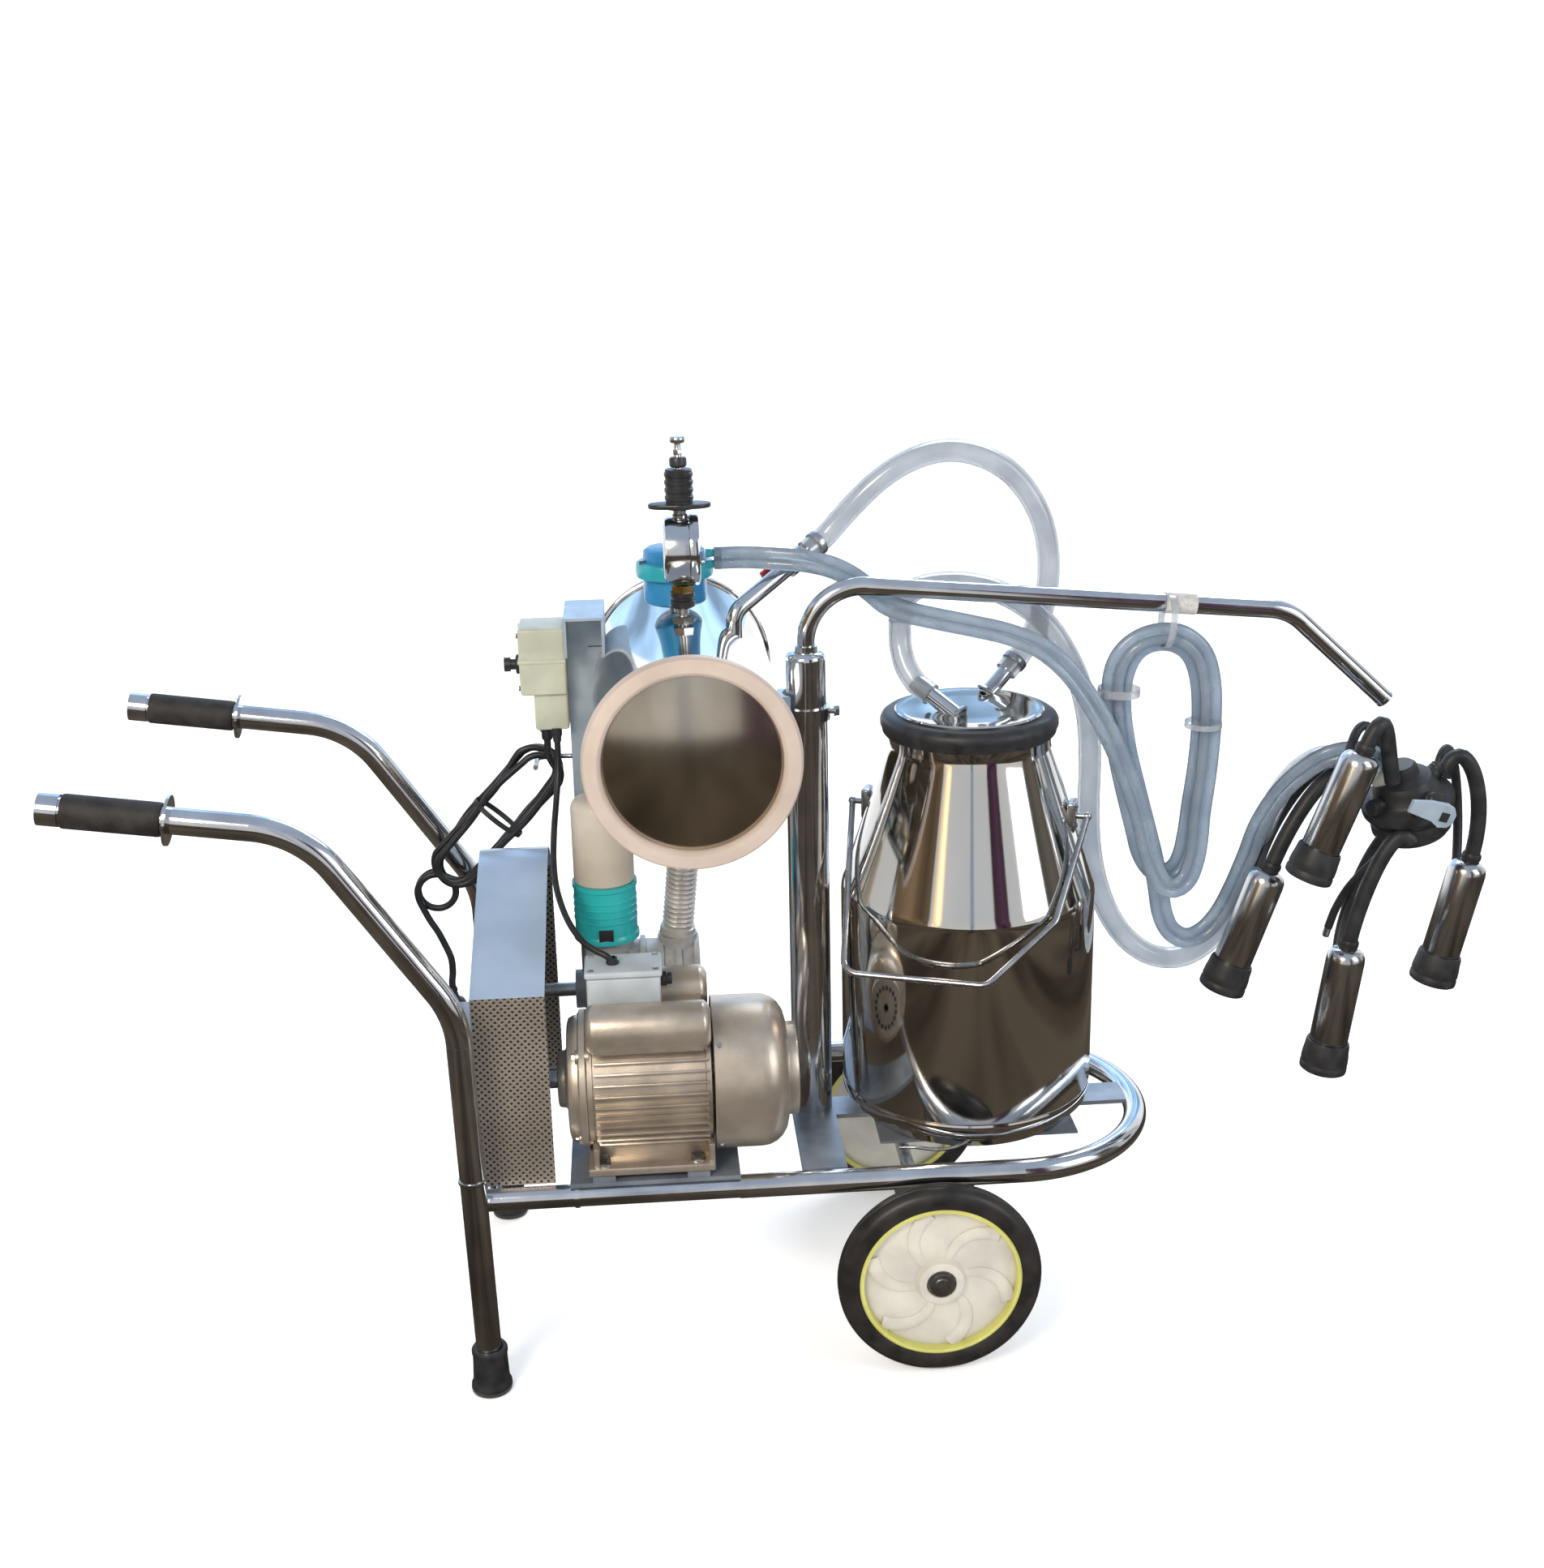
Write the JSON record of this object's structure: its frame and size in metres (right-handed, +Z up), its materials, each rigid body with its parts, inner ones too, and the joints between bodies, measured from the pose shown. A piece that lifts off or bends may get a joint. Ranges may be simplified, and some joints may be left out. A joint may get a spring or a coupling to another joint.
{
  "type": "milking machine",
  "caption": "Wheeled milking machine: tube trolley with electric vacuum pump, round tank, stainless milk bucket and a teat cup cluster hung from a swinging arm.",
  "frame": {"origin": "on the floor under the middle of the machine's box, without the mains cord", "axes": "+X from the push handles to the milking cluster, +Y away from the viewer of the picture, +Z up"},
  "size_m": [1.5208, 0.461, 0.987],
  "materials": {
    "chrome_tube": "polished",
    "polished_steel": "mirror polished stainless steel",
    "painted_deck": "satin",
    "motor_paint": "silver paint",
    "guard_paint": "light blue-grey satin paint",
    "black_rubber": "matt",
    "tyre_rubber": "matt",
    "cream_plastic": "satin",
    "black_plastic": "satin",
    "grey_plastic": "satin",
    "teal_plastic": "satin",
    "blue_plastic": "satin",
    "red_plastic": "satin",
    "clear_hose": "clear, slightly cloudy",
    "pulse_tube": "clear bluish",
    "cream_rubber": "matt",
    "machined_steel": "machined",
    "cast_iron": "silver painted casting",
    "copper_winding": "varnished"
  },
  "bodies": {
    "frame": {"base_loop": "chrome_tube", "cross_members": "painted_deck", "handle_tubes": "chrome_tube", "handle_grips": "black_rubber", "rubber_feet": "black_rubber", "post": "chrome_tube", "post_sleeve": "chrome_tube", "tank_supports": "painted_deck", "axle": "machined_steel", "motor_housing": "motor_paint", "motor_end_bell": "motor_paint", "fan_cover": "motor_paint", "capacitor_covers": "motor_paint", "terminal_box": "grey_plastic", "frame_bolts": "machined_steel", "motor_stator": "copper_winding", "drive_belt": "black_rubber", "pump_housing": "cast_iron", "oil_base": "teal_plastic", "oil_bottle": "cream_plastic", "belt_guard": "guard_paint", "tank_shell": "polished_steel", "suction_hose": "clear_hose", "regulator_body": "black_plastic", "vacuum_gauge": "chrome_tube", "pulsator_body": "blue_plastic", "vacuum_pipe": "chrome_tube", "switch_box": "cream_plastic", "motor_cable": "black_plastic", "bucket_body": "polished_steel", "vacuum_hose": "clear_hose", "milk_hose_lower": "clear_hose", "milk_hose": "clear_hose", "pulse_hose": "pulse_tube", "power_cord": "black_plastic", "cord_hank": "black_plastic", "power_plug": "black_plastic"},
    "wheel_near": {"tyre_near": "tyre_rubber", "hub_near": "cream_plastic"},
    "wheel_far": {"tyre_far": "tyre_rubber", "hub_far": "cream_plastic"},
    "arm": {"arm_tube": "chrome_tube", "claw_bowl": "black_rubber", "cup_shells": "polished_steel", "cup_liners": "black_rubber", "short_tubes": "black_rubber", "hose_hank": "pulse_tube"},
    "bail_handle": {"bail": "machined_steel"},
    "lid": {"lid_plate": "polished_steel", "lid_gasket": "black_rubber"},
    "motor_rotor": {"rotor_shaft": "machined_steel", "motor_pulley": "cast_iron", "cooling_fan": "black_plastic"},
    "pump_drive": {"pump_rotor": "machined_steel", "pump_pulley": "cast_iron"},
    "tank_end": {"tank_cover": "polished_steel", "tank_gasket": "cream_rubber"},
    "valve": {"valve_lever": "red_plastic"},
    "button": {"switch_button": "black_plastic"},
    "regulator": {"regulator_screw": "machined_steel"}
  },
  "joints": [
    {"name": "wheel_near_spin", "type": "hinge", "parent": "frame", "child": "wheel_near", "pos_m": [0.1148, -0.2095, 0.11], "axis": [0, 1, 0], "continuous": true},
    {"name": "wheel_far_spin", "type": "hinge", "parent": "frame", "child": "wheel_far", "pos_m": [0.1148, 0.1745, 0.11], "axis": [0, 1, 0], "continuous": true},
    {"name": "arm_swivel", "type": "hinge", "parent": "frame", "child": "arm", "pos_m": [-0.0022, -0.0175, 0.757], "axis": [0, 0, 1], "range_deg": [-70, 0], "deforming": ["milk_hose", "pulse_hose"]},
    {"name": "bail_swing", "type": "hinge", "parent": "frame", "child": "bail_handle", "pos_m": [0.1738, -0.0175, 0.573], "axis": [-0.9397, 0.342, 0], "range_deg": [0, 100]},
    {"name": "lid_lift", "type": "slide", "parent": "frame", "child": "lid", "axis": [0, 0, 1], "range_m": [0, 0.025], "deforming": ["milk_hose_lower", "vacuum_hose"]},
    {"name": "motor_spin", "type": "hinge", "parent": "frame", "child": "motor_rotor", "pos_m": [-0.1822, -0.1075, 0.316], "axis": [1, 0, 0], "continuous": true},
    {"name": "pump_spin", "type": "hinge", "parent": "frame", "child": "pump_drive", "pos_m": [-0.1822, 0.0445, 0.354], "axis": [1, 0, 0], "continuous": true},
    {"name": "valve_turn", "type": "hinge", "parent": "frame", "child": "valve", "pos_m": [-0.01566, 0.05858, 0.8416], "axis": [-0.5, 0.866, 0], "range_deg": [0, 90]},
    {"name": "button_press", "type": "slide", "parent": "frame", "child": "button", "axis": [1, 0, 0], "range_m": [0, 0.004], "stiffness_N_per_m": 400},
    {"name": "regulator_turn", "type": "hinge", "parent": "frame", "child": "regulator", "pos_m": [-0.1302, -0.0175, 0.95], "axis": [0, 0, 1], "range_deg": [-180, 180]},
    {"name": "cover_pull", "type": "slide", "parent": "frame", "child": "tank_end", "axis": [0, -1, 0], "range_m": [0, 0.06]}
  ],
  "couplings": [
    {"joint": "pump_spin", "follows": "motor_spin", "ratio": 0.55385}
  ]
}
